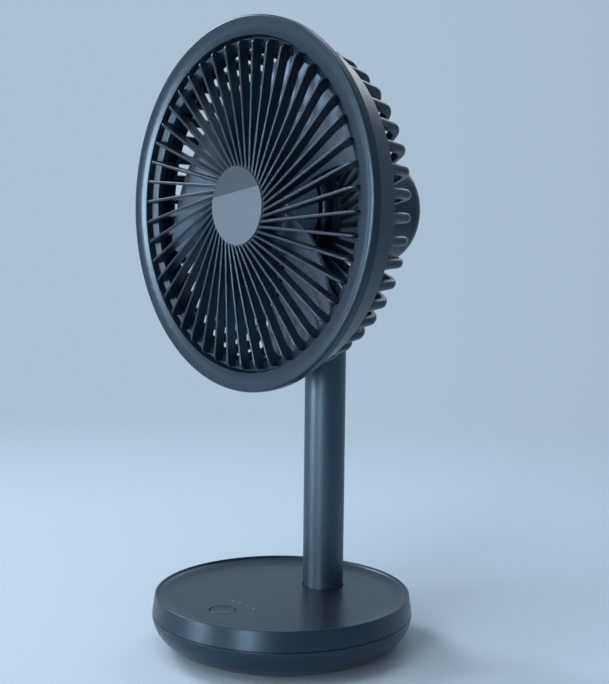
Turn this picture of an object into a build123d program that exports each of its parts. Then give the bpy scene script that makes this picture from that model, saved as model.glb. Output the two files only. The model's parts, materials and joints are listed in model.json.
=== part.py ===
from build123d import *
from math import cos, radians, sin, sqrt
import os

os.makedirs("parts", exist_ok=True)

# Lengths in millimetres, +Z up, desk at Z = 0, the fan blows towards -Y.

# Stance
base_height = 28.5
pole_diameter = 21.7
pole_setback_share = 0.44
head_axis_height = 226.5

# Base shells
base_lip_radius = 66.0
base_flare = 1.4
base_flat_share = 0.682
band_height = 9.9
tray_depth = 2.6
dish_width = 8.0
lip_width = 1.4
lip_round = 0.6
shell_wall = 2.2
seam_depth = 0.45
locating_width = 1.4
locating_height = 3.0
fit_gap = 0.2
press_gap = 0.03
hole_gap = 0.1
cut_extra = 4.0

# Foot pad and ballast
pad_margin = 3.0
pad_thickness = 2.0
pad_proud = 1.0
pad_edge_round = 0.4
ballast_margin = 1.5
ballast_thickness = 5.0

# Base screws and bosses
boss_count = 4
boss_circle_share = 0.545
boss_radius = 4.0
boss_gap = 0.6
cover_boss_length = 7.0
base_screw_radius = 1.5
base_screw_head_radius = 2.7
base_screw_head_height = 1.8
base_screw_bite = 6.0

# Button, switch, lights and control board
button_diameter = 13.0
button_forward_share = 0.6
button_gap = 0.3
button_travel = 0.8
button_flange_width = 1.2
button_flange_thickness = 1.0
button_flange_gap = 0.1
button_edge_round = 0.5
button_dish_depth = 0.3
button_stem_radius = 2.2
switch_width = 6.2
switch_height = 2.6
switch_clearance = 0.5
plunger_radius = 1.5
plunger_gap = 0.3
plunger_reach = 0.9
light_count = 4
light_pitch = 5.46
light_forward_share = 0.4
light_diameter = 1.5
light_bar_depth = 2.6
light_bar_height = 1.2
light_bar_overhang = 1.6
led_width = 1.6
led_depth = 1.0
led_height = 0.8
board_width_share = 0.606
board_thickness = 1.6
board_front_margin = 5.5
board_rear_margin = 1.9
board_post_radius = 2.6
board_post_inset = 3.4
board_screw_radius = 1.0
board_screw_head_radius = 1.9
board_screw_head_height = 1.3
board_screw_bite = 3.0

# Battery
battery_round = 2.0
battery_flange_gap = 1.0
battery_board_gap = 3.0
battery_head_room = 2.5

# Charging port
port_width = 8.94
port_height = 3.26
port_length = 7.4
port_wall = 0.3
port_recess = 0.6
port_back_wall = 0.8
port_tongue_width = 6.7
port_tongue_height = 0.7
port_tongue_short = 1.2
port_slot_gap = 0.3
port_drop = 0.8
charge_board_width = 24.0
charge_board_length = 11.0
charge_post_spread = 17.2

# Pole, its foot and the cable
pole_wall = 1.5
pole_hole_gap = 0.35
foot_flange_width = 5.65
foot_flange_thickness = 3.0
foot_sleeve_height = 18.0
foot_screw_count = 3
foot_screw_offset = 2.75
foot_screw_radius = 1.25
foot_screw_head_radius = 2.2
foot_screw_head_height = 1.5
foot_screw_bite = 3.8
lead_radius = 1.8
lead_gap = 0.2

# Tilt joint
ear_trim = 0.35
ear_gap = 1.5
fork_floor = 9.0
fork_sleeve_height = 15.0
tongue_edge_margin = 2.35
tongue_width_share = 0.37
tongue_floor_gap = 1.5
washer_thickness = 0.8
washer_margin = 1.5
washer_run_gap = 0.05
hinge_bolt_radius = 2.0
hinge_run_gap = 0.06
hinge_head_radius = 3.5
hinge_head_thickness = 1.8
hinge_head_inset = 0.9
hinge_recess_gap = 0.4
rib_pole_gap = 3.15

# Front grille: insets from the rim radius, depths counted backwards from the rim plane
rim_radius = 91.7
rim_edge_round = 1.3
rim_back_depth = 4.5
rim_crown_inset = 3.7
rim_inner_inset = 9.5
rim_inner_depth = 1.3
rim_wall_inset = 10.4
ledge_width = 4.3
ledge_front_depth = 4.6
ledge_slope = 0.8
ledge_back_depth = 8.0
spigot_inset = 7.7
spigot_depth = 9.5
vane_count = 46
vane_offset = 9.0
vane_start_angle = 3.9
vane_thickness = 1.5
vane_hub_rise = 2.3
vane_tip_rise = 0.5
vane_hub_depth = 3.0
vane_tip_depth = 4.6
vane_bend = 3.2
vane_edge_round = 0.6
vane_foot_length = 4.2
vane_end_inset = 0.7
hub_disc_radius = 20.2
hub_disc_front_rise = 1.6
hub_disc_back_depth = 3.2
badge_margin = 0.95
badge_thickness = 1.6
badge_recess_depth = 0.6
badge_edge_round = 0.4
badge_wall_gap = 0.1

# Impeller hub: depths set the motor and the collar behind it
hub_radius = 23.5
hub_front_depth = 10.0
hub_length = 21.0
hub_wall = 1.84
hub_face_thickness = 2.2
hub_edge_round = 2.0
hub_boss_radius = 4.6
hub_boss_length = 3.4
shaft_front_cover = 1.0

# Rear cage
band_front_inset = 3.3
band_back_inset = 7.2
band_wall = 2.2
rib_count = 46
rib_offset = 11.0
rib_start_angle = 3.9
rib_outer_width = 5.2
rib_inner_width = 2.2
rib_outer_round = 2.3
rib_inner_round = 0.95
rib_depth = 5.0
rib_corner_inset = 11.2
rib_corner_rise = 5.5
rib_bend = 6.0
rib_length = 19.0
rib_lap = 3.0
collar_width = 0.7
collar_lap = 1.0
collar_rim_height = 2.4
web_thickness = 3.0
lug_count = 4
lug_start_angle = 45.0
lug_inset = 10.7
lug_radius = 2.7
lug_depth = 11.5
lug_thickness = 2.4
grille_screw_radius = 1.0
grille_screw_head_radius = 1.9
grille_screw_head_height = 1.2
grille_screw_bite = 4.0

# Motor mount and rear housing
housing_radius = 28.5
housing_length = 59.0
housing_wall = 2.0
housing_round = 7.0
mount_margin = 4.1
mount_hub_gap = 3.0
mount_boss_length = 8.0
mount_edge_round = 2.5
mount_bore_gap = 0.3
bearing_tube_radius = 5.9
bearing_tube_drop = 7.0
bearing_radius = 5.0
bearing_width = 4.0
shaft_radius = 2.0
shaft_run_gap = 0.04
shaft_back_gap = 0.6
tongue_plate_width = 24.0
tongue_plate_height = 30.0
tongue_plate_thickness = 3.0
tongue_top_drop = 5.0
tongue_slot_gap = 0.4
tongue_screw_radius = 1.25
tongue_screw_head_radius = 2.2
tongue_screw_head_height = 1.5
tongue_screw_bite = 4.5
tongue_screw_inset = 3.6
driver_board_margin = 2.3
driver_board_setoff = 20.0
driver_board_thickness = 1.6
driver_post_count = 3
driver_post_inset = 4.0
driver_post_radius = 2.6
driver_screw_radius = 1.0
driver_screw_head_radius = 1.9
driver_screw_head_height = 1.3
driver_screw_bite = 4.0
tower_wall_gap = 0.8
tower_radius = 3.2
tower_bore = 2.4
tower_floor = 2.5
tower_pad_height = 3.0
housing_screw_radius = 1.25
housing_screw_head_radius = 2.2
housing_screw_head_height = 1.6
housing_screw_bite = 5.0

# Stator and rotor
stator_front_gap = 2.0
stator_back_gap = 4.0
stator_core_radius = 9.0
stator_teeth_count = 9
stator_tooth_width = 3.2
stator_shoe_length = 1.4
stator_shoe_share = 0.82
coil_build = 1.2
coil_inset = 0.3
magnet_air_gap = 0.6
magnet_thickness = 1.4
yoke_thickness = 1.0

# Blades, angles seen from the front and counted anticlockwise from +X
blade_count = 3
blade_tip_gap = 2.2
blade_root_gap = 1.5
blade_front_root_angle = 111.0
blade_front_tip_angle = 76.0
blade_rear_root_angle = 34.0
blade_rear_tip_angle = 14.0
blade_front_gap = 1.5
blade_rear_gap = 1.5
blade_thickness = 1.8
blade_camber_share = 0.25
blade_tip_round = 7.0
blade_overlap = 3.0
blade_overlap_share = 0.14

# Turns
half_turn_angle = 180.0
full_turn_angle = 360.0
quarter_turn_angle = 90.0
three_quarter_turn_angle = 270.0

# Derived sizes of the base
pole_radius = pole_diameter / 2
pole_bore = pole_radius - pole_wall
pole_setback = base_lip_radius * pole_setback_share
base_waist_radius = base_lip_radius + base_flare
base_flat_radius = base_lip_radius * base_flat_share
pad_radius = base_flat_radius - pad_margin
ballast_radius = base_flat_radius - ballast_margin
shell_bottom = pad_proud
shell_floor = shell_bottom + shell_wall
part_level = base_height - band_height
tray_level = base_height - tray_depth
tray_under = tray_level - shell_wall
ballast_top = shell_floor + ballast_thickness
flange_top = ballast_top + foot_flange_thickness
foot_flange_radius = pole_radius + foot_flange_width
foot_screw_circle = pole_radius + foot_screw_offset
button_forward = base_lip_radius * button_forward_share
light_forward = base_lip_radius * light_forward_share
board_width = base_lip_radius * board_width_share
button_radius = button_diameter / 2
button_flange_top = tray_under - button_flange_gap
button_flange_low = button_flange_top - button_flange_thickness
switch_top = button_flange_low - button_travel - switch_clearance
board_top = switch_top - switch_height
board_low = board_top - board_thickness
board_front = button_forward + button_radius + board_front_margin
board_rear = light_forward - board_rear_margin
boss_split = tray_under - cover_boss_length
port_low = tray_under - port_drop - port_height
charge_low = port_low - board_thickness

# Derived sizes of the head
hub_back_depth = hub_front_depth + hub_length
mount_boss_depth = hub_back_depth + mount_hub_gap
web_front_depth = mount_boss_depth + mount_boss_length
collar_front_depth = web_front_depth - collar_rim_height
collar_back_depth = web_front_depth + web_thickness
rib_corner_depth = collar_back_depth - rib_corner_rise
band_back_depth = rib_corner_depth - rib_length
housing_back_depth = collar_back_depth + housing_length
driver_board_depth = housing_back_depth - driver_board_setoff
bearing_tube_front_depth = hub_front_depth + bearing_tube_drop
stator_front_depth = bearing_tube_front_depth + stator_front_gap
stator_back_depth = hub_back_depth - stator_back_gap
rim_crown_radius = rim_radius - rim_crown_inset
rim_inner_radius = rim_radius - rim_inner_inset
rim_wall_radius = rim_radius - rim_wall_inset
ledge_inner_radius = rim_wall_radius - ledge_width
spigot_radius = rim_radius - spigot_inset
lug_circle = rim_radius - lug_inset
band_front_radius = rim_radius - band_front_inset
band_back_radius = rim_radius - band_back_inset
rib_corner_radius = rim_radius - rib_corner_inset
badge_radius = hub_disc_radius - badge_margin
mount_boss_radius = housing_radius - mount_margin
collar_radius = housing_radius + collar_width
collar_bore = mount_boss_radius + mount_bore_gap
housing_bore = housing_radius - housing_wall
tower_reach = housing_bore - tower_radius - tower_wall_gap
driver_board_radius = tower_reach - tower_radius - driver_board_margin
driver_post_circle = driver_board_radius - driver_post_inset
hub_bore = hub_radius - hub_wall
yoke_outer = hub_bore - press_gap
yoke_bore = yoke_outer - yoke_thickness
magnet_outer = yoke_bore - press_gap
magnet_bore = magnet_outer - magnet_thickness
stator_radius = magnet_bore - magnet_air_gap
blade_tip_radius = ledge_inner_radius - blade_tip_gap
blade_root_radius = hub_radius + blade_root_gap
blade_front_depth = hub_front_depth + blade_front_gap
blade_rear_depth = hub_back_depth - blade_rear_gap

# Derived places of the tilt joint
ear_radius = pole_radius - ear_trim
tongue_radius = pole_radius - tongue_edge_margin
tongue_width = pole_diameter * tongue_width_share
washer_radius = tongue_radius - washer_margin
hinge_level = head_axis_height - housing_radius - ear_radius - ear_gap
tongue_floor = hinge_level - tongue_radius - tongue_floor_gap
fork_low = tongue_floor - fork_floor
ear_inner = tongue_width / 2 + washer_run_gap + washer_thickness
tongue_front = pole_setback - pole_radius - rib_pole_gap
rim_forward = collar_back_depth - tongue_front
head = Plane(origin=(0, -rim_forward, head_axis_height), x_dir=(1, 0, 0), z_dir=(0, -1, 0))
pole_place = Pos(0, pole_setback, 0)


def turned(corners):
    """Solid turned about Z from (radius, height) corners."""
    return revolve(Plane.XZ * make_face(Polyline(*corners, close=True)), Axis.Z)


def turned_edges(edges):
    """Solid turned about Z from a closed run of edges in (radius, height)."""
    return revolve(Plane.XZ * make_face(edges), Axis.Z)


def rod(radius, low, high):
    return turned([(0, low), (radius, low), (radius, high), (0, high)])


def tube(radius, bore, low, high):
    return turned([(bore, low), (radius, low), (radius, high), (bore, high)])


def block(x_size, y_size, low, high, x_mid=0, y_mid=0):
    return Pos(x_mid, y_mid, low) * extrude(Rectangle(x_size, y_size), high - low)


def screw(radius, head_radius, head_height, length):
    """Screw with its head on top of Z = 0 and its shank pointing down."""
    return rod(radius, -length, 0) + rod(head_radius, 0, head_height)


def round_top(shape, rounding):
    """Rounds the topmost circular edge of a turned shape."""
    return fillet(shape.edges().filter_by(GeomType.CIRCLE).sort_by(Axis.Z)[-1], rounding)


def spread(shape, places):
    """Copies of one shape at several places, kept as separate solids."""
    return Compound(children=[place * shape for place in places])


def cut_all(shape, tool, places):
    return shape - [place * tool for place in places]


def circle_places(radius, count, start=0):
    return PolarLocations(radius, count, start).locations


def turns(count, start=0):
    """Evenly spaced turns about Z."""
    return [Rot(0, 0, start + full_turn_angle / count * step) for step in range(count)]


# Places of the base's screws, boards and lights
boss_circle = base_lip_radius * boss_circle_share
boss_places = circle_places(boss_circle, boss_count, full_turn_angle / boss_count / 2)
board_post_x = board_width / 2 - board_post_inset
board_mid_y = -(board_front + board_rear) / 2
board_places = [Pos(side * board_post_x, board_mid_y, 0) for side in (-1, 1)]
port_front = sqrt(base_lip_radius ** 2 - (port_width / 2) ** 2) - port_recess
charge_rear_y = port_front - port_length + port_back_wall
charge_mid_y = charge_rear_y - charge_board_length / 2 + port_length / 2
charge_places = [Pos(side * charge_post_spread / 2, charge_mid_y, 0) for side in (-1, 1)]
light_span = light_pitch * (light_count - 1)
light_places = [
    Pos(light_pitch * step - light_span / 2, -light_forward, 0) for step in range(light_count)
]
foot_turns = circle_places(foot_screw_circle, foot_screw_count, -quarter_turn_angle)
foot_places = [pole_place * place for place in foot_turns]

# Base top cover
lip_inner = base_lip_radius - lip_width
tray_edge = lip_inner - dish_width
cover_inner = base_waist_radius - shell_wall
lip_round_at = base_lip_radius - lip_round
cover_edges = [
    Line((0, tray_level), (tray_edge, tray_level)),
    EllipticalCenterArc(
        (tray_edge, base_height), dish_width, tray_depth, three_quarter_turn_angle, arc_size=quarter_turn_angle
    ),
    Line((lip_inner, base_height), (lip_round_at, base_height)),
    CenterArc((lip_round_at, base_height - lip_round), lip_round, 0, quarter_turn_angle),
    Line((base_lip_radius, base_height - lip_round), (base_waist_radius, part_level)),
    Line((base_waist_radius, part_level), (cover_inner, part_level)),
    Line((cover_inner, part_level), (base_lip_radius - shell_wall, tray_under)),
    Line((base_lip_radius - shell_wall, tray_under), (0, tray_under)),
    Line((0, tray_under), (0, tray_level)),
]
seam_out = seam_depth * 2
seam_tool = turned([
    (base_waist_radius - seam_depth, part_level),
    (base_waist_radius + seam_depth, part_level - seam_out),
    (base_waist_radius + seam_depth, part_level + seam_out),
])
port_slot = Plane(origin=(0, port_front, port_low + port_height / 2), x_dir=(1, 0, 0), z_dir=(0, 1, 0))
port_slot_shape = SlotOverall(port_width + 2 * port_slot_gap, port_height + 2 * port_slot_gap)
port_slot_tool = extrude(port_slot * port_slot_shape, cut_extra, both=True)
base_top_cover = turned_edges(cover_edges) - seam_tool - port_slot_tool
base_top_cover += [place * rod(boss_radius, boss_split, tray_under) for place in boss_places]
base_top_cover += [place * rod(board_post_radius, board_top, tray_under) for place in board_places]
tray_cut_low = tray_under - cut_extra
tray_cut_high = tray_level + cut_extra
button_place = Pos(0, -button_forward, 0)
base_top_cover -= pole_place * rod(pole_radius + pole_hole_gap, tray_cut_low, tray_cut_high)
base_top_cover -= button_place * rod(button_radius + button_gap, tray_cut_low, tray_cut_high)
light_hole = rod(light_diameter / 2 + hole_gap, tray_cut_low, tray_cut_high)
base_top_cover = cut_all(base_top_cover, light_hole, light_places)
base_screw_bore = base_screw_radius + hole_gap
base_top_cover = cut_all(
    base_top_cover, rod(base_screw_bore, boss_split, boss_split + base_screw_bite), boss_places
)
board_screw_bore = board_screw_radius + hole_gap
base_top_cover = cut_all(
    base_top_cover, rod(board_screw_bore, board_top, board_top + board_screw_bite), board_places
)
export_step(base_top_cover, "parts/base_top_cover.step")

# Base bottom shell
bowl_width = base_waist_radius - base_flat_radius
bowl_depth = part_level - shell_bottom
bowl_centre = (base_flat_radius, part_level)
bowl_curve = EllipticalCenterArc(
    bowl_centre, bowl_width, bowl_depth, three_quarter_turn_angle, arc_size=quarter_turn_angle
)
bowl_inner_curve = EllipticalCenterArc(
    bowl_centre, bowl_width - shell_wall, bowl_depth - shell_wall,
    three_quarter_turn_angle, arc_size=quarter_turn_angle,
)
shell_edges = [
    Line((0, shell_bottom), (base_flat_radius, shell_bottom)),
    bowl_curve,
    Line((base_waist_radius, part_level), (cover_inner, part_level)),
    bowl_inner_curve,
    Line((base_flat_radius, shell_floor), (0, shell_floor)),
    Line((0, shell_floor), (0, shell_bottom)),
]
locating_outer = cover_inner - fit_gap - base_flare
locating_inner = locating_outer - locating_width
locating_low = part_level - locating_height
locating_high = part_level + locating_height
locating_ring = turned([
    (locating_inner, locating_low),
    (cover_inner, locating_low),
    (cover_inner, part_level),
    (locating_outer, part_level),
    (locating_outer, locating_high),
    (locating_inner, locating_high),
])
charge_post = rod(board_post_radius, shell_floor, charge_low)
shell_inside = turned_edges([
    Line((0, shell_bottom), (base_flat_radius, shell_bottom)),
    bowl_curve,
    Line((base_waist_radius, part_level), (base_waist_radius, base_height)),
    Line((base_waist_radius, base_height), (0, base_height)),
    Line((0, base_height), (0, shell_bottom)),
])
shell_adds = locating_ring + [place * charge_post for place in charge_places]
shell_adds += [place * rod(boss_radius, shell_floor, boss_split) for place in boss_places]
base_bottom_shell = turned_edges(shell_edges) - seam_tool + (shell_adds & shell_inside)
base_bottom_shell -= rod(pad_radius, shell_bottom - cut_extra, pad_thickness)
head_seat = pad_thickness + base_screw_head_height
base_bottom_shell = cut_all(base_bottom_shell, rod(base_screw_bore, pad_thickness, boss_split), boss_places)
base_bottom_shell = cut_all(
    base_bottom_shell, rod(base_screw_head_radius + hole_gap, pad_thickness, head_seat), boss_places
)
base_bottom_shell = cut_all(
    base_bottom_shell, rod(board_screw_bore, charge_low - board_screw_bite, charge_low), charge_places
)
base_bottom_shell -= port_slot_tool
export_step(base_bottom_shell, "parts/base_bottom_shell.step")

# Foot pad
pad_edge = pad_radius - fit_gap
foot_pad = turned([
    (0, 0),
    (pad_edge - pad_edge_round, 0),
    (pad_edge, pad_edge_round),
    (pad_edge, pad_thickness),
    (0, pad_thickness),
])
export_step(foot_pad, "parts/foot_pad.step")

# Ballast plate
foot_screw_bore = foot_screw_radius + hole_gap
ballast_plate = rod(ballast_radius, shell_floor, ballast_top)
ballast_plate = cut_all(ballast_plate, rod(boss_radius + boss_gap, shell_floor, ballast_top), boss_places)
ballast_plate = cut_all(
    ballast_plate, rod(foot_screw_bore, ballast_top - foot_screw_bite, ballast_top), foot_places
)
export_step(ballast_plate, "parts/ballast_plate.step")

# Base screws, put in from below
base_screw = Pos(0, 0, head_seat) * Rot(half_turn_angle, 0, 0) * screw(
    base_screw_radius, base_screw_head_radius, base_screw_head_height, boss_split + base_screw_bite - head_seat
)
export_step(spread(base_screw, boss_places), "parts/base_screws.step")

# Battery pack between the pole's foot and the control board
battery_rear = pole_setback - foot_flange_radius - battery_flange_gap
battery_length = battery_rear + board_rear - battery_board_gap
battery_core = block(
    board_width, battery_length, ballast_top, tray_under - battery_head_room, 0, battery_rear - battery_length / 2
)
battery_pack = fillet(battery_core.edges().filter_by(Axis.Z), battery_round)
export_step(battery_pack, "parts/battery_pack.step")

# Control board, switch and lights
control_board = block(board_width, board_front - board_rear, board_low, board_top, 0, board_mid_y)
control_board = cut_all(control_board, rod(board_screw_bore, board_low, board_top), board_places)
export_step(control_board, "parts/control_board.step")
switch_body = block(switch_width, switch_width, board_top, switch_top)
switch_well = rod(plunger_radius + plunger_gap, switch_top - button_travel - plunger_reach, switch_top)
export_step(button_place * (switch_body - switch_well), "parts/button_switch.step")
indicator_led = block(led_width, led_depth, board_top, board_top + led_height)
export_step(spread(indicator_led, light_places), "parts/indicator_leds.step")
light_bar = block(
    light_span + light_diameter + 2 * light_bar_overhang, light_bar_depth,
    tray_under - light_bar_height, tray_under, 0, -light_forward,
)
light_pin = rod(light_diameter / 2, board_top + led_height, tray_level)
light_pipes = light_bar + [place * light_pin for place in light_places]
export_step(light_pipes, "parts/light_pipes.step")

# Power button and the plunger below it
button_body = round_top(rod(button_radius, button_flange_low, tray_level), button_edge_round)
dish_rim = button_radius - button_edge_round * 2
dish_ball = (dish_rim ** 2 + button_dish_depth ** 2) / (2 * button_dish_depth)
button_body -= Pos(0, 0, tray_level - button_dish_depth + dish_ball) * Sphere(dish_ball)
plunger_top = switch_top + button_travel
power_button = button_place * (
    button_body
    + rod(button_radius + button_flange_width, button_flange_low, button_flange_top)
    + rod(button_stem_radius, plunger_top, button_flange_low)
)
export_step(power_button, "parts/power_button.step")
switch_plunger = button_place * rod(plunger_radius, switch_top - plunger_reach, plunger_top)
export_step(switch_plunger, "parts/switch_plunger.step")

# Charging board and port
charge_board = block(charge_board_width, charge_board_length, charge_low, port_low, 0, charge_mid_y)
charge_board = cut_all(charge_board, rod(board_screw_bore, charge_low, port_low), charge_places)
charge_board &= rod(locating_inner - fit_gap, charge_low, port_low)
export_step(charge_board, "parts/charge_board.step")
port_outer = extrude(port_slot * SlotOverall(port_width, port_height), -port_length)
port_inner = extrude(
    port_slot * SlotOverall(port_width - 2 * port_wall, port_height - 2 * port_wall), port_back_wall - port_length
)
port_tongue = extrude(port_slot * Rectangle(port_tongue_width, port_tongue_height), -port_length)
port_tongue -= extrude(port_slot * Rectangle(port_width, port_height), -port_tongue_short)
usb_c_port = port_outer - port_inner + port_tongue
export_step(usb_c_port, "parts/usb_c_port.step")

# Board screws: two up into the cover, two down into the shell
board_screw = screw(
    board_screw_radius, board_screw_head_radius, board_screw_head_height, board_thickness + board_screw_bite
)
turned_over = Rot(half_turn_angle, 0, 0)
cover_screws = [place * Pos(0, 0, board_low) * turned_over * board_screw for place in board_places]
charge_screws = [place * Pos(0, 0, port_low) * board_screw for place in charge_places]
export_step(Compound(children=cover_screws + charge_screws), "parts/board_screws.step")

# Pole, its foot, foot screws and cable
lead_bore = lead_radius + lead_gap
pole_foot = rod(foot_flange_radius, ballast_top, flange_top)
pole_foot += rod(pole_bore - press_gap, flange_top, flange_top + foot_sleeve_height)
pole_foot -= rod(lead_bore, ballast_top, flange_top + foot_sleeve_height)
pole_foot = cut_all(pole_foot, rod(foot_screw_bore, ballast_top, flange_top), foot_turns)
export_step(pole_place * pole_foot, "parts/pole_foot.step")
foot_screw = Pos(0, 0, flange_top) * screw(
    foot_screw_radius, foot_screw_head_radius, foot_screw_head_height, foot_flange_thickness + foot_screw_bite
)
export_step(spread(foot_screw, foot_places), "parts/foot_screws.step")
export_step(pole_place * tube(pole_radius, pole_bore, flange_top, fork_low), "parts/pole_tube.step")
export_step(pole_place * rod(lead_radius, flange_top, tongue_floor - lead_gap), "parts/motor_lead.step")

# Tilt joint: fork on the pole, bolt, nut and washers
hinge_place = Pos(0, pole_setback, hinge_level)
cross = Rot(0, quarter_turn_angle, 0)
cross_back = Rot(0, -quarter_turn_angle, 0)
fork_side = block(pole_diameter, pole_diameter, fork_low, hinge_level)
fork_side += Pos(0, 0, hinge_level) * cross * rod(ear_radius, -pole_radius, pole_radius)
neck_fork = rod(pole_radius, fork_low, hinge_level + pole_radius) & fork_side
neck_fork += rod(pole_bore - press_gap, fork_low - fork_sleeve_height, fork_low)
neck_fork -= block(2 * ear_inner, 2 * pole_diameter, tongue_floor, hinge_level + pole_diameter)
neck_fork -= rod(lead_bore, fork_low - fork_sleeve_height, tongue_floor)
hinge_seat = pole_radius - hinge_head_inset - hinge_head_thickness
hinge_bore = rod(hinge_bolt_radius + hole_gap, -pole_radius, pole_radius)
hinge_recess = rod(hinge_head_radius + hinge_recess_gap, hinge_seat, pole_diameter)
neck_fork -= Pos(0, 0, hinge_level) * cross * hinge_bore
neck_fork -= Pos(0, 0, hinge_level) * cross * hinge_recess
neck_fork -= Pos(0, 0, hinge_level) * cross_back * hinge_recess
export_step(pole_place * neck_fork, "parts/neck_fork.step")
hinge_bolt = rod(hinge_bolt_radius, -hinge_seat - hinge_head_thickness, hinge_seat)
hinge_bolt += rod(hinge_head_radius, hinge_seat, hinge_seat + hinge_head_thickness)
export_step(hinge_place * cross * hinge_bolt, "parts/hinge_bolt.step")
nut_side_count = 6
hinge_nut = extrude(RegularPolygon(hinge_head_radius, nut_side_count), hinge_head_thickness)
hinge_nut -= rod(hinge_bolt_radius + hole_gap, 0, hinge_head_thickness)
nut_place = Pos(0, 0, -hinge_seat - hinge_head_thickness)
export_step(hinge_place * cross * nut_place * hinge_nut, "parts/hinge_nut.step")
washer = tube(washer_radius, hinge_bolt_radius + hole_gap, ear_inner - washer_thickness, ear_inner)
washers = [hinge_place * cross * washer, hinge_place * cross_back * washer]
export_step(Compound(children=washers), "parts/friction_washers.step")

# Front grille: bezel, ledge, vanes and hub disc
ledge_inner_front = -ledge_front_depth - ledge_slope
rim_round_at = rim_radius - rim_edge_round
rim_rise_tangent = (rim_inner_inset - rim_crown_inset, rim_inner_depth * 2)
rim_edges = [
    Spline((rim_inner_radius, -rim_inner_depth), (rim_crown_radius, 0), tangents=[rim_rise_tangent, (1, 0)]),
    Line((rim_crown_radius, 0), (rim_round_at, 0)),
    CenterArc((rim_round_at, -rim_edge_round), rim_edge_round, 0, quarter_turn_angle),
    Line((rim_radius, -rim_edge_round), (rim_radius, -rim_back_depth)),
    Line((rim_radius, -rim_back_depth), (spigot_radius, -rim_back_depth)),
    Line((spigot_radius, -rim_back_depth), (spigot_radius, -spigot_depth)),
    Line((spigot_radius, -spigot_depth), (rim_wall_radius, -spigot_depth)),
    Line((rim_wall_radius, -spigot_depth), (rim_wall_radius, -ledge_back_depth)),
    Line((rim_wall_radius, -ledge_back_depth), (ledge_inner_radius, -ledge_back_depth)),
    Line((ledge_inner_radius, -ledge_back_depth), (ledge_inner_radius, ledge_inner_front)),
    Line((ledge_inner_radius, ledge_inner_front), (rim_wall_radius, -ledge_front_depth)),
    Line((rim_wall_radius, -ledge_front_depth), (rim_inner_radius, -rim_inner_depth)),
]
rim_ring = turned_edges(rim_edges)
hub_disc = rod(hub_disc_radius, -hub_disc_back_depth, hub_disc_front_rise)
vane_end = sqrt((rim_wall_radius - vane_end_inset) ** 2 - vane_offset ** 2)
vane_start = sqrt((hub_disc_radius - hub_disc_back_depth) ** 2 - vane_offset ** 2)
vane_back = -(ledge_front_depth + ledge_back_depth) / 2
vane_side = make_face(Polyline(
    (vane_start, vane_hub_rise),
    (vane_end, vane_tip_rise),
    (vane_end, vane_back),
    (vane_end - vane_foot_length, vane_back),
    (vane_end - vane_foot_length * 2, -vane_tip_depth),
    (vane_start, -vane_hub_depth),
    close=True,
))
vane_corner = vane_side.vertices().sort_by_distance((vane_end, vane_tip_rise))[0]
vane_side = fillet(vane_corner, vane_bend)
vane = Pos(0, -vane_offset, 0) * extrude(Plane.XZ * vane_side, vane_thickness / 2, both=True)
vane_fronts = vane.edges().filter_by_position(Axis.Z, vane_tip_rise, vane_hub_rise, inclusive=(False, False))
vane = fillet([edge for edge in vane_fronts if edge.length > vane_end / 2], vane_edge_round)
vanes = [turn * vane for turn in turns(vane_count, vane_start_angle)]
lug_places = circle_places(lug_circle, lug_count, lug_start_angle)
grille_post = rod(lug_radius, -lug_depth, -ledge_back_depth)
front_grille = rim_ring + hub_disc + vanes + [place * grille_post for place in lug_places]
badge_seat = hub_disc_front_rise - badge_recess_depth
front_grille -= rod(badge_radius + badge_wall_gap, badge_seat, vane_hub_rise + cut_extra)
grille_screw_bore = grille_screw_radius + hole_gap
front_grille = cut_all(
    front_grille, rod(grille_screw_bore, -lug_depth, -lug_depth + grille_screw_bite), lug_places
)
export_step(head.location * front_grille, "parts/front_grille.step")

# Badge disc
badge_disc = round_top(rod(badge_radius, badge_seat, badge_seat + badge_thickness), badge_edge_round)
export_step(head.location * badge_disc, "parts/badge_disc.step")


def rib_reach(radius):
    """Distance along a slanted rib at which it reaches a radius."""
    return sqrt(radius ** 2 - rib_offset ** 2)


def rib_section(at, width, rounding):
    """Cross-section of the rib at a share of its path."""
    place = Plane(origin=rib_path @ at, x_dir=(0, 1, 0), z_dir=rib_path % at)
    return place * RectangleRounded(width, rib_depth, rounding)


# Rear cage: band, ribs swept from the band round the corner to the collar, and screw lugs
band = turned([
    (band_front_radius, -rim_back_depth),
    (band_back_radius, -band_back_depth),
    (band_back_radius - band_wall, -band_back_depth),
    (band_front_radius - band_wall, -rim_back_depth),
])
collar = rod(collar_radius, -collar_back_depth, -collar_front_depth)
collar -= rod(collar_bore, -web_front_depth, -collar_front_depth)
tower_places = [Pos(side * tower_reach, 0, 0) for side in (-1, 1)]
pad_back = collar_back_depth + tower_pad_height
collar += [place * rod(tower_radius, -pad_back, -collar_back_depth) for place in tower_places]
rib_half = rib_depth / 2
rib_line = Plane.XZ * FilletPolyline(
    (rib_reach(band_back_radius) - rib_half, rib_lap - band_back_depth),
    (rib_reach(rib_corner_radius) - rib_half, rib_half - rib_corner_depth),
    (rib_reach(collar_radius - collar_lap), rib_half - collar_back_depth),
    radius=rib_bend,
)
rib_path = Wire(rib_line.edges())
rib_ends = [rib_section(0, rib_outer_width, rib_outer_round), rib_section(1, rib_inner_width, rib_inner_round)]
rib = Pos(0, -rib_offset, 0) * sweep(rib_ends, path=rib_path, multisection=True)
ribs = [turn * rib for turn in turns(rib_count, rib_start_angle)]
lug_low = -lug_depth - lug_thickness
lug = rod(lug_radius, lug_low, -lug_depth)
lug += Pos(lug_radius, 0, 0) * block(2 * lug_radius, 2 * lug_radius, lug_low, -lug_depth)
band_solid = turned([
    (0, -rim_back_depth), (band_front_radius, -rim_back_depth),
    (band_back_radius, -band_back_depth), (0, -band_back_depth),
])
lugs = [(place * lug) & band_solid for place in lug_places]
rear_cage = band + collar + ribs + lugs
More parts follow.
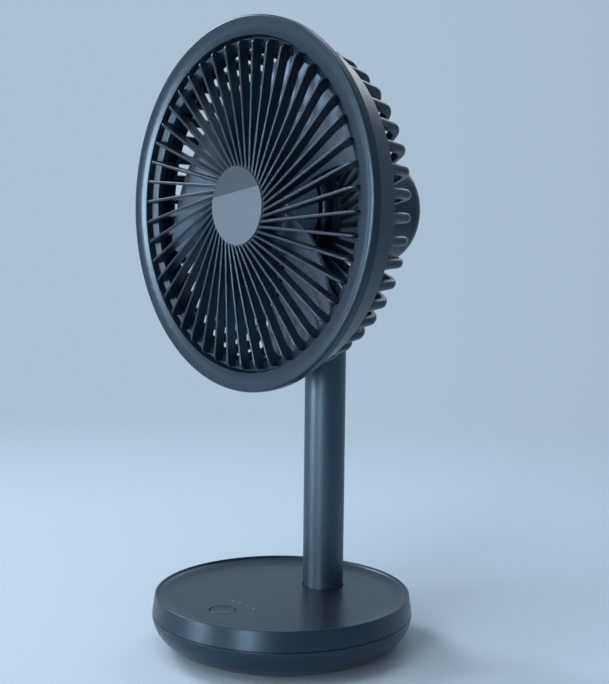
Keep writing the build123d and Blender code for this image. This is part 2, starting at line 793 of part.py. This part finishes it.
rear_cage = cut_all(rear_cage, rod(grille_screw_bore, lug_low, -lug_depth), lug_places)
housing_screw_bore = housing_screw_radius + hole_gap
rear_cage = cut_all(
    rear_cage, rod(housing_screw_bore, -pad_back, housing_screw_bite - pad_back), tower_places
)
tongue_screw_bore = tongue_screw_radius + hole_gap
screw_x = tongue_plate_width / 2 - tongue_screw_inset
screw_y = tongue_plate_height / 2 - tongue_screw_inset
tongue_places = [Pos(side * screw_x, level * screw_y, 0) for side in (-1, 1) for level in (-1, 1)]
web_hole = rod(tongue_screw_bore, -collar_back_depth, -web_front_depth)
rear_cage = cut_all(rear_cage, web_hole, tongue_places)
export_step(head.location * rear_cage, "parts/rear_cage.step")
grille_screw = Pos(0, 0, lug_low) * turned_over * screw(
    grille_screw_radius, grille_screw_head_radius, grille_screw_head_height, lug_thickness + grille_screw_bite
)
export_step(head.location * spread(grille_screw, lug_places), "parts/grille_screws.step")

# Motor mount with its bearing tube
motor_mount = round_top(rod(mount_boss_radius, -web_front_depth, -mount_boss_depth), mount_edge_round)
motor_mount += rod(bearing_tube_radius, -mount_boss_depth, -bearing_tube_front_depth)
motor_mount -= rod(bearing_radius, -web_front_depth, -bearing_tube_front_depth)
motor_mount = cut_all(
    motor_mount, rod(tongue_screw_bore, -web_front_depth, tongue_screw_bite - web_front_depth), tongue_places
)
export_step(head.location * motor_mount, "parts/motor_mount.step")

# Bearings
bearing = tube(bearing_radius, shaft_radius + shaft_run_gap, -bearing_width, 0)
bearing_places = [Pos(0, 0, -bearing_tube_front_depth), Pos(0, 0, bearing_width - web_front_depth)]
export_step(head.location * spread(bearing, bearing_places), "parts/bearings.step")

# Stator core and coils
shoe_inner = stator_radius - stator_shoe_length
stator_height = stator_back_depth - stator_front_depth
tooth_turns = turns(stator_teeth_count)
tooth = Pos(stator_radius / 2, 0) * Rectangle(shoe_inner, stator_tooth_width)
shoe_gap = Pos(stator_radius / 2, 0) * Rectangle(stator_radius, (1 - stator_shoe_share) * stator_radius)
shoe_gap_turns = turns(stator_teeth_count, full_turn_angle / stator_teeth_count / 2)
shoe_ring = Circle(stator_radius) - Circle(shoe_inner) - [turn * shoe_gap for turn in shoe_gap_turns]
core_sketch = Circle(stator_core_radius) + [turn * tooth for turn in tooth_turns]
core_sketch = core_sketch + shoe_ring - Circle(bearing_tube_radius)
stator_core = Pos(0, 0, -stator_back_depth) * extrude(core_sketch, stator_height)
export_step(head.location * stator_core, "parts/stator_core.step")
coil_length = shoe_inner - stator_core_radius - 2 * coil_inset
coil_outer = block(
    coil_length, stator_tooth_width + 2 * coil_build,
    -stator_back_depth - coil_build, -stator_front_depth + coil_build,
)
coil_hole = block(2 * coil_length, stator_tooth_width, -stator_back_depth, -stator_front_depth)
coil = Pos(stator_core_radius + coil_inset + coil_length / 2, 0, 0) * (coil_outer - coil_hole)
export_step(head.location * spread(coil, tooth_turns), "parts/stator_coils.step")

# Rear housing with two screw towers and the slot for the tongue
housing_bend = housing_radius - housing_round
bend_level = housing_round - housing_back_depth
inner_back = housing_wall - housing_back_depth
housing_edges = [
    Line((housing_bore, -collar_back_depth), (housing_radius, -collar_back_depth)),
    Line((housing_radius, -collar_back_depth), (housing_radius, bend_level)),
    CenterArc((housing_bend, bend_level), housing_round, 0, -quarter_turn_angle),
    Line((housing_bend, -housing_back_depth), (0, -housing_back_depth)),
    Line((0, -housing_back_depth), (0, inner_back)),
    Line((0, inner_back), (housing_bend, inner_back)),
    CenterArc((housing_bend, bend_level), housing_round - housing_wall, -quarter_turn_angle, quarter_turn_angle),
    Line((housing_bore, bend_level), (housing_bore, -collar_back_depth)),
]
driver_places = circle_places(driver_post_circle, driver_post_count, -quarter_turn_angle)
driver_back = driver_board_depth + driver_board_thickness
wall_middle = housing_wall / 2 - housing_back_depth
driver_post = rod(driver_post_radius, wall_middle, -driver_back)
tower = rod(tower_radius, wall_middle, -pad_back)
tower_seat = -pad_back - tower_floor
housing_adds = [place * driver_post for place in driver_places] + [place * tower for place in tower_places]
rear_housing = turned_edges(housing_edges) + housing_adds
rear_housing = cut_all(rear_housing, rod(tower_bore, -housing_back_depth, tower_seat), tower_places)
rear_housing = cut_all(rear_housing, rod(housing_screw_bore, tower_seat, -pad_back), tower_places)
driver_screw_bore = driver_screw_radius + hole_gap
driver_bore = rod(driver_screw_bore, -driver_back - driver_screw_bite, -driver_back)
rear_housing = head.location * cut_all(rear_housing, driver_bore, driver_places)
rear_housing -= block(
    tongue_width + 2 * tongue_slot_gap, 2 * tongue_radius + 2 * tongue_slot_gap,
    head_axis_height - housing_radius - cut_extra, head_axis_height - housing_radius / 2, 0, pole_setback,
)
export_step(rear_housing, "parts/rear_housing.step")

# Housing screws at the bottom of the two screw towers
housing_screw = Pos(0, 0, tower_seat) * turned_over * screw(
    housing_screw_radius, housing_screw_head_radius, housing_screw_head_height, tower_floor + housing_screw_bite
)
export_step(head.location * spread(housing_screw, tower_places), "parts/housing_screws.step")

# Driver board and its screws
driver_board = rod(driver_board_radius, -driver_back, -driver_board_depth)
driver_board = cut_all(driver_board, rod(driver_screw_bore, -driver_back, -driver_board_depth), driver_places)
export_step(head.location * driver_board, "parts/driver_board.step")
driver_screw = Pos(0, 0, -driver_board_depth) * screw(
    driver_screw_radius, driver_screw_head_radius, driver_screw_head_height,
    driver_board_thickness + driver_screw_bite,
)
export_step(head.location * spread(driver_screw, driver_places), "parts/driver_screws.step")

# Tilt tongue from the motor mount down to the hinge
tongue_top = head_axis_height - tongue_top_drop
tilt_tongue = block(tongue_width, 2 * tongue_radius, hinge_level, tongue_top, 0, pole_setback)
tilt_tongue += hinge_place * cross * rod(tongue_radius, -tongue_width / 2, tongue_width / 2)
plate_low = head_axis_height - tongue_plate_height / 2
plate_high = head_axis_height + tongue_plate_height / 2
plate_mid = tongue_front + tongue_plate_thickness / 2
tilt_tongue += block(tongue_plate_width, tongue_plate_thickness, plate_low, plate_high, 0, plate_mid)
arm_length = pole_setback - tongue_front
tilt_tongue += block(tongue_width, arm_length, plate_low, tongue_top, 0, tongue_front + arm_length / 2)
tilt_tongue -= hinge_place * cross * rod(hinge_bolt_radius + hinge_run_gap, -tongue_width, tongue_width)
plate_back_depth = collar_back_depth + tongue_plate_thickness
tongue_hole = rod(tongue_screw_bore, -plate_back_depth, -collar_back_depth)
tilt_tongue = cut_all(tilt_tongue, tongue_hole, [head.location * place for place in tongue_places])
export_step(tilt_tongue, "parts/tilt_tongue.step")
tongue_screw = Pos(0, 0, -plate_back_depth) * turned_over * screw(
    tongue_screw_radius, tongue_screw_head_radius, tongue_screw_head_height,
    plate_back_depth - web_front_depth + tongue_screw_bite,
)
export_step(head.location * spread(tongue_screw, tongue_places), "parts/tongue_screws.step")

# Rotor: shaft, magnet ring and yoke
shaft_front = -hub_front_depth - shaft_front_cover
hub_inside = -hub_front_depth - hub_face_thickness
motor_shaft = rod(shaft_radius, shaft_back_gap - web_front_depth, shaft_front)
export_step(head.location * motor_shaft, "parts/motor_shaft.step")
export_step(head.location * tube(magnet_outer, magnet_bore, -hub_back_depth, hub_inside), "parts/magnet_ring.step")
export_step(head.location * tube(yoke_outer, yoke_bore, -hub_back_depth, hub_inside), "parts/rotor_yoke.step")


def edge_angle(radius, root_angle, tip_angle):
    """Angle of a blade edge at a radius, swept evenly from root to tip."""
    share = (radius - blade_root_radius) / (blade_tip_radius - blade_root_radius)
    return root_angle + (tip_angle - root_angle) * share


def blade_point(radius, share):
    """Point on the blade's middle surface, from the front edge (0) to the rear edge (1)."""
    front = edge_angle(radius, blade_front_root_angle, blade_front_tip_angle)
    rear = edge_angle(radius, blade_rear_root_angle, blade_rear_tip_angle)
    angle = radians(front + (rear - front) * share)
    bow = blade_camber_share * share * (1 - share)
    depth = blade_front_depth + (blade_rear_depth - blade_front_depth) * (share + bow)
    return (radius * cos(angle), radius * sin(angle), -depth)


def edge_run(root_angle, tip_angle, radii):
    bearings_of = [radians(edge_angle(radius, root_angle, tip_angle)) for radius in radii]
    return Spline(*[(radius * cos(turn), radius * sin(turn)) for radius, turn in zip(radii, bearings_of)])


# Impeller: hub cup and three blades
hub_inner_radius = hub_radius - blade_overlap / 2
step_count = 6
inner_start = hub_inner_radius - blade_overlap
radius_step = (blade_tip_radius + blade_overlap - inner_start) / step_count
share_step = (1 + 2 * blade_overlap_share) / step_count
grid = [
    [
        blade_point(inner_start + radius_step * row, share_step * column - blade_overlap_share)
        for column in range(step_count + 1)
    ]
    for row in range(step_count + 1)
]
blade_surface = Face.make_surface_from_array_of_points(grid)
blade_slab = thicken(blade_surface, blade_thickness / 2, both=True)
edge_step_count = 3
edge_step = (blade_tip_radius - hub_inner_radius) / edge_step_count
edge_radii = [hub_inner_radius + edge_step * step for step in range(edge_step_count + 1)]
front_run = edge_run(blade_front_root_angle, blade_front_tip_angle, edge_radii)
rear_run = edge_run(blade_rear_root_angle, blade_rear_tip_angle, edge_radii)
front_root_turn = edge_angle(hub_inner_radius, blade_front_root_angle, blade_front_tip_angle)
rear_root_turn = edge_angle(hub_inner_radius, blade_rear_root_angle, blade_rear_tip_angle)
tip_arc = CenterArc(
    (0, 0), blade_tip_radius, blade_rear_tip_angle, blade_front_tip_angle - blade_rear_tip_angle
)
root_arc = CenterArc((0, 0), hub_inner_radius, rear_root_turn, front_root_turn - rear_root_turn)
blade_plan = make_face([front_run, tip_arc, rear_run, root_arc])
tip_corners = blade_plan.vertices().sort_by(lambda corner: Vector(corner.X, corner.Y, 0).length)[-2:]
blade_plan = fillet(tip_corners, blade_tip_round)
blade_column = Pos(0, 0, -hub_back_depth) * extrude(blade_plan, hub_back_depth)
blade = blade_slab & blade_column
hub = round_top(rod(hub_radius, -hub_back_depth, -hub_front_depth), hub_edge_round)
impeller = hub + [turn * blade for turn in turns(blade_count)]
impeller -= rod(hub_bore, -hub_back_depth, hub_inside)
impeller += rod(hub_boss_radius, hub_inside - hub_boss_length, hub_inside)
impeller -= rod(shaft_radius + press_gap, hub_inside - hub_boss_length, shaft_front)
export_step(head.location * impeller, "parts/impeller.step")
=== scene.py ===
import json
import math

import bpy
from mathutils import Matrix, Vector

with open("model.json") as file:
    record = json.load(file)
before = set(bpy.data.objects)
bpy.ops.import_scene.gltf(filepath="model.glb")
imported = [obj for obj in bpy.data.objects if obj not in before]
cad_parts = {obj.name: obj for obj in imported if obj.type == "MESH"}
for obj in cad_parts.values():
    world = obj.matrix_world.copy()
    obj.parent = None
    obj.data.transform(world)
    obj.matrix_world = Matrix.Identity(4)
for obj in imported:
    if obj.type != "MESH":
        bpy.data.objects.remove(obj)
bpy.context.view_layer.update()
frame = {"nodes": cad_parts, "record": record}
nodes = frame["nodes"]

# Camera at the photograph's viewing angle, in metres, degrees and, for the lens and sensor, millimetres
camera_azimuth = 47.70
camera_elevation = 4.88
camera_roll = 0.62
camera_distance = 0.5881
camera_aim_right = 0.0102
camera_aim_height = 0.1583
camera_lens = 60.37
camera_sensor = 36.0
camera_near = 0.01

# Lights: azimuth as for the camera, distance, height and size in metres, power in watts, spread in degrees
lamp_aim = (0.0, 0.0, 0.2)
lamps = {
    "strip": dict(azimuth=-24, distance=1.4, height=0.22, size=(0.2, 0.4), power=1.15, spread=60),
    "front": dict(azimuth=20, distance=1.5, height=0.28, size=(0.36, 0.55), power=1.05, spread=60),
    "high front": dict(azimuth=5, distance=1.1, height=1.2, size=(0.7, 0.7), power=4.0, spread=180),
    "left side": dict(azimuth=-80, distance=1.23, height=1.09, size=(0.5, 0.5), power=9.0, spread=180),
    "back": dict(azimuth=200, distance=1.2, height=1.0, size=(0.6, 0.6), power=2.0, spread=180),
    "top": dict(azimuth=0, distance=0.3, height=1.7, size=(0.8, 0.8), power=4.0, spread=180),
}

# Surroundings: a fill light and a backdrop, each brighter towards one side
fill_dim = (0.08, 0.09, 0.1, 1.0)
fill_bright = (0.27, 0.3, 0.34, 1.0)
fill_azimuth = -60.0
fill_elevation = 30.0
backdrop_dim = (0.25, 0.31, 0.38, 1.0)
backdrop_pale = (0.41, 0.53, 0.65, 1.0)
backdrop_azimuth = 265.0
backdrop_elevation = 0.0
gradient_reach = 0.8

# Floor: a disc that fades into the backdrop
floor_colour = (0.6, 0.75, 0.9, 1.0)
floor_roughness = 0.8
floor_specular = 0.2
floor_radius = 1.0
floor_sides = 96
fade_start = 0.3
fade_end = 0.95

# Smooth shading below an angle in degrees, and softened edges
smooth_angle = 32.0
edge_radius = 0.00035
edge_samples = 4

# Noise: the band of its values that is used, and the detail of each kind
rough_band = (0.3, 0.7)
colour_band = (0.32, 0.68)
rough_detail = 3.0
colour_detail = 4.0
grain_detail = 2.0

# Moulded plastic and paint, with scales in features per metre
sheen_tint = (0.5, 0.75, 1.0, 1.0)
plastic_colour_scale = 55.0
plastic_rough_scale = 90.0
plastic_rough_spread = 0.015

# Metal
metal_colour_scale = 260.0
metal_rough_scale = 420.0
metal_rough_spread = 0.06
metal_grain = dict(scale=2400.0, depth=0.00001, strength=0.2)

# Two-tone centre plate: the line between its tones, in metres from its middle, and its finish
badge_line_rise = 0.007
badge_line_slope = 0.148
badge_line_blur = 0.00008
badge_light = (0.09, 0.125, 0.17, 1.0)
badge_dark = (0.018, 0.036, 0.062, 1.0)
badge_rough = dict(middle=0.42, spread=0.04, scale=900.0)
badge_grain = dict(scale=2600.0, depth=0.00003, strength=0.5)


def direction(azimuth, elevation):
    """Unit vector from the object towards a place at that azimuth and elevation."""
    a = math.radians(azimuth)
    e = math.radians(elevation)
    return Vector((math.sin(a) * math.cos(e), -math.cos(a) * math.cos(e), math.sin(e)))


def new_material(name):
    """Material with one Principled shader, and its node tree."""
    material = bpy.data.materials.new(name)
    material.use_nodes = True
    tree = material.node_tree
    return material, tree, tree.nodes["Principled BSDF"]


def add_node(tree, kind, **inputs):
    """New node with some of its inputs set; an underscore stands for a space in an input's name."""
    node = tree.nodes.new(kind)
    for socket, value in inputs.items():
        node.inputs[socket.replace("_", " ")].default_value = value
    return node


def noise(tree, scale, detail):
    """Noise in the object's own coordinates, with the scale in features per metre."""
    place = tree.nodes.get("Place")
    if place is None:
        place = tree.nodes.new("ShaderNodeTexCoord")
        place.name = "Place"
    texture = add_node(tree, "ShaderNodeTexNoise", Scale=scale, Detail=detail)
    tree.links.new(place.outputs["Object"], texture.inputs["Vector"])
    return texture.outputs["Fac"]


def along(tree, coordinates, vector):
    """How far a point lies along a vector, in the named coordinates."""
    place = tree.nodes.new("ShaderNodeTexCoord")
    dot = tree.nodes.new("ShaderNodeVectorMath")
    dot.operation = "DOT_PRODUCT"
    dot.inputs[1].default_value = vector
    tree.links.new(place.outputs[coordinates], dot.inputs[0])
    return dot.outputs["Value"]


def two_tone(tree, value, start, end, first, second):
    """Colour that goes from the first tone at the start value to the second at the end value."""
    span = add_node(tree, "ShaderNodeMapRange", From_Min=start, From_Max=end)
    ramp = tree.nodes.new("ShaderNodeValToRGB")
    ramp.color_ramp.elements[0].color = first
    ramp.color_ramp.elements[1].color = second
    tree.links.new(value, span.inputs["Value"])
    tree.links.new(span.outputs["Result"], ramp.inputs["Fac"])
    return ramp.outputs["Color"]


def vary_roughness(tree, shader, middle, spread, scale):
    """Roughness that wanders by the spread to either side of its middle value."""
    start, end = rough_band
    low = middle - spread
    high = middle + spread
    span = add_node(tree, "ShaderNodeMapRange", From_Min=start, From_Max=end, To_Min=low, To_Max=high)
    tree.links.new(noise(tree, scale, rough_detail), span.inputs["Value"])
    tree.links.new(span.outputs["Result"], shader.inputs["Roughness"])


def vary_colour(tree, shader, dark, light, scale):
    """Colour that wanders between two close tones."""
    ramp = tree.nodes.new("ShaderNodeValToRGB")
    for stop, position, tone in zip(ramp.color_ramp.elements, colour_band, (dark, light)):
        stop.position = position
        stop.color = (*tone, 1.0)
    tree.links.new(noise(tree, scale, colour_detail), ramp.inputs["Fac"])
    tree.links.new(ramp.outputs["Color"], shader.inputs["Base Color"])


def fine_grain(tree, shader, scale, depth, strength):
    """Fine surface grain, with edges softened as a mould leaves them."""
    bump = add_node(tree, "ShaderNodeBump", Strength=strength, Distance=depth)
    tree.links.new(noise(tree, scale, grain_detail), bump.inputs["Height"])
    soft_edge = add_node(tree, "ShaderNodeBevel", Radius=edge_radius)
    soft_edge.samples = edge_samples
    tree.links.new(soft_edge.outputs["Normal"], bump.inputs["Normal"])
    tree.links.new(bump.outputs["Normal"], shader.inputs["Normal"])


def moulded_plastic(name, dark, light, rough, specular, grain_depth,
                    ior=1.5, grain_scale=2200.0, grain_strength=0.12):
    """Plastic, paint or rubber with slight patches, uneven gloss, a fine grain and a tinted sheen."""
    material, tree, shader = new_material(name)
    shader.inputs["Specular IOR Level"].default_value = specular
    shader.inputs["Specular Tint"].default_value = sheen_tint
    shader.inputs["IOR"].default_value = ior
    vary_colour(tree, shader, dark, light, plastic_colour_scale)
    vary_roughness(tree, shader, rough, plastic_rough_spread, plastic_rough_scale)
    fine_grain(tree, shader, grain_scale, grain_depth, grain_strength)
    return material


def metal(name, dark, light, rough):
    """Bare metal with slight patches, uneven gloss and a fine grain."""
    material, tree, shader = new_material(name)
    shader.inputs["Metallic"].default_value = 1.0
    vary_colour(tree, shader, dark, light, metal_colour_scale)
    vary_roughness(tree, shader, rough, metal_rough_spread, metal_rough_scale)
    fine_grain(tree, shader, **metal_grain)
    return material


def badge_plate():
    """Plain two-tone plate: a darker part above a slanted straight line, a lighter part below."""
    material, tree, shader = new_material("badge plate")
    corners = [Vector(corner) for corner in nodes["badge_disc"].bound_box]
    middle = sum(corners, Vector()) / len(corners)
    line_at = badge_line_rise + middle.z - badge_line_slope * middle.x
    across_line = along(tree, "Object", (-badge_line_slope, 0.0, 1.0))
    below = line_at - badge_line_blur
    above = line_at + badge_line_blur
    colour = two_tone(tree, across_line, below, above, badge_light, badge_dark)
    tree.links.new(colour, shader.inputs["Base Color"])
    vary_roughness(tree, shader, **badge_rough)
    fine_grain(tree, shader, **badge_grain)
    return material


# One material for each slot of the record
materials = {
    "charcoal_plastic": moulded_plastic(
        "charcoal satin plastic", dark=(0.005, 0.009, 0.017), light=(0.007, 0.0115, 0.021),
        rough=0.32, specular=0.75, grain_depth=0.00001,
    ),
    "impeller_plastic": moulded_plastic(
        "impeller gloss plastic", dark=(0.08, 0.11, 0.155), light=(0.09, 0.122, 0.172),
        rough=0.32, specular=1.0, grain_depth=0.00001, ior=1.7,
    ),
    "badge_plastic": badge_plate(),
    "pole_paint": moulded_plastic(
        "pole satin paint", dark=(0.008, 0.012, 0.02), light=(0.0095, 0.014, 0.023),
        rough=0.4, specular=1.0, grain_depth=0.0003, ior=1.6, grain_scale=1200.0, grain_strength=0.2,
    ),
    "dark_rubber": moulded_plastic(
        "dark rubber", dark=(0.012, 0.012, 0.012), light=(0.018, 0.018, 0.018),
        rough=0.7, specular=0.3, grain_depth=0.00005,
    ),
    "plain_steel": metal("plain steel", dark=(0.42, 0.43, 0.45), light=(0.52, 0.53, 0.55), rough=0.36),
    "bearing_steel": metal("bearing steel", dark=(0.6, 0.61, 0.63), light=(0.68, 0.69, 0.71), rough=0.18),
    "board_laminate": moulded_plastic(
        "board laminate", dark=(0.012, 0.07, 0.03), light=(0.018, 0.09, 0.042),
        rough=0.4, specular=0.5, grain_depth=0.00002,
    ),
    "battery_wrap": moulded_plastic(
        "battery wrap", dark=(0.02, 0.045, 0.12), light=(0.03, 0.06, 0.15),
        rough=0.35, specular=0.5, grain_depth=0.00002,
    ),
    "coil_winding": metal("coil winding", dark=(0.55, 0.23, 0.1), light=(0.66, 0.3, 0.14), rough=0.35),
    "magnet_grey": moulded_plastic(
        "magnet grey", dark=(0.05, 0.05, 0.055), light=(0.065, 0.065, 0.07),
        rough=0.55, specular=0.4, grain_depth=0.00004,
    ),
    "clear_pipe": moulded_plastic(
        "light pipe", dark=(0.15, 0.18, 0.22), light=(0.19, 0.22, 0.27),
        rough=0.25, specular=0.5, grain_depth=0.00001,
    ),
}


def dress(node, slot):
    """Gives a CAD node its material, and smooth shading below the edge angle."""
    thing = nodes[node]
    thing.data.materials.clear()
    thing.data.materials.append(materials[slot])
    for polygon in thing.data.polygons:
        polygon.material_index = 0
    thing.data.set_sharp_from_angle(angle=math.radians(smooth_angle))


for part in frame["record"]["subparts"]:
    dress(part["node"], part["material_slot"])


def place_in_scene(name, data):
    """New object in the scene that holds this mesh, lamp or camera."""
    holder = bpy.data.objects.new(name, data)
    bpy.context.scene.collection.objects.link(holder)
    return holder


def add_light(name, azimuth, distance, height, size, power, spread):
    """Soft rectangular lamp that faces the object."""
    lamp = bpy.data.lights.new(name, "AREA")
    lamp.shape = "RECTANGLE"
    lamp.size, lamp.size_y = size
    lamp.energy = power
    lamp.spread = math.radians(spread)
    holder = place_in_scene(name, lamp)
    holder.location = direction(azimuth, 0) * distance + Vector((0, 0, height))
    away = holder.location - Vector(lamp_aim)
    holder.rotation_euler = away.to_track_quat("Z", "Y").to_euler()


for lamp_name, lamp_values in lamps.items():
    add_light(lamp_name, **lamp_values)


def side_light(tree, azimuth, elevation, dim, bright):
    """Colour that goes from dim to bright towards one side of the surroundings."""
    toward = along(tree, "Generated", direction(azimuth, elevation))
    return two_tone(tree, toward, -gradient_reach, gradient_reach, dim, bright)


def make_world():
    """Fill light for matt surfaces, and a pale backdrop that the camera, gloss and glass see."""
    world = bpy.data.worlds.new("studio")
    world.use_nodes = True
    tree = world.node_tree
    fill = side_light(tree, fill_azimuth, fill_elevation, fill_dim, fill_bright)
    backdrop = side_light(tree, backdrop_azimuth, backdrop_elevation, backdrop_dim, backdrop_pale)
    path = tree.nodes.new("ShaderNodeLightPath")
    seen = path.outputs["Is Camera Ray"]
    for kind in ("Is Glossy Ray", "Is Transmission Ray"):
        either = tree.nodes.new("ShaderNodeMath")
        either.operation = "MAXIMUM"
        tree.links.new(seen, either.inputs[0])
        tree.links.new(path.outputs[kind], either.inputs[1])
        seen = either.outputs["Value"]
    blend = tree.nodes.new("ShaderNodeMixRGB")
    tree.links.new(seen, blend.inputs["Fac"])
    tree.links.new(fill, blend.inputs["Color1"])
    tree.links.new(backdrop, blend.inputs["Color2"])
    tree.links.new(blend.outputs["Color"], tree.nodes["Background"].inputs["Color"])
    bpy.context.scene.world = world


make_world()


def floor_material():
    """Pale matt floor that turns clear towards its rim."""
    material, tree, shader = new_material("pale floor")
    shader.inputs["Base Color"].default_value = floor_colour
    shader.inputs["Roughness"].default_value = floor_roughness
    shader.inputs["Specular IOR Level"].default_value = floor_specular
    place = tree.nodes.new("ShaderNodeTexCoord")
    reach = tree.nodes.new("ShaderNodeVectorMath")
    reach.operation = "LENGTH"
    tree.links.new(place.outputs["Object"], reach.inputs[0])
    fade = add_node(tree, "ShaderNodeMapRange", From_Min=fade_start, From_Max=fade_end)
    fade.interpolation_type = "SMOOTHSTEP"
    tree.links.new(reach.outputs["Value"], fade.inputs["Value"])
    blend = tree.nodes.new("ShaderNodeMixShader")
    clear = tree.nodes.new("ShaderNodeBsdfTransparent")
    tree.links.new(fade.outputs["Result"], blend.inputs["Fac"])
    tree.links.new(shader.outputs["BSDF"], blend.inputs[1])
    tree.links.new(clear.outputs["BSDF"], blend.inputs[2])
    tree.links.new(blend.outputs["Shader"], tree.nodes["Material Output"].inputs["Surface"])
    return material


def make_floor():
    """Round floor under the object."""
    points = []
    for side in range(floor_sides):
        turn = math.tau * side / floor_sides
        points.append((floor_radius * math.cos(turn), floor_radius * math.sin(turn), 0.0))
    mesh = bpy.data.meshes.new("floor")
    mesh.from_pydata(points, [], [range(floor_sides)])
    mesh.materials.append(floor_material())
    place_in_scene("floor", mesh)


make_floor()


def make_camera():
    """Camera that sees the object from the photograph's side, height and distance."""
    back = direction(camera_azimuth, camera_elevation)
    a = math.radians(camera_azimuth)
    right = Vector((math.cos(a), math.sin(a), 0))
    up = back.cross(right)
    roll = math.radians(camera_roll)
    rolled_right = right * math.cos(roll) + up * math.sin(roll)
    rolled_up = up * math.cos(roll) - right * math.sin(roll)
    aim = right * camera_aim_right + Vector((0, 0, camera_aim_height))
    lens = bpy.data.cameras.new("camera")
    lens.lens = camera_lens
    lens.sensor_width = camera_sensor
    lens.clip_start = camera_near
    holder = place_in_scene("camera", lens)
    turn = Matrix((rolled_right, rolled_up, back)).transposed().to_4x4()
    holder.matrix_world = Matrix.Translation(aim + back * camera_distance) @ turn
    bpy.context.scene.camera = holder


make_camera()

bpy.context.scene.view_settings.view_transform = "Standard"
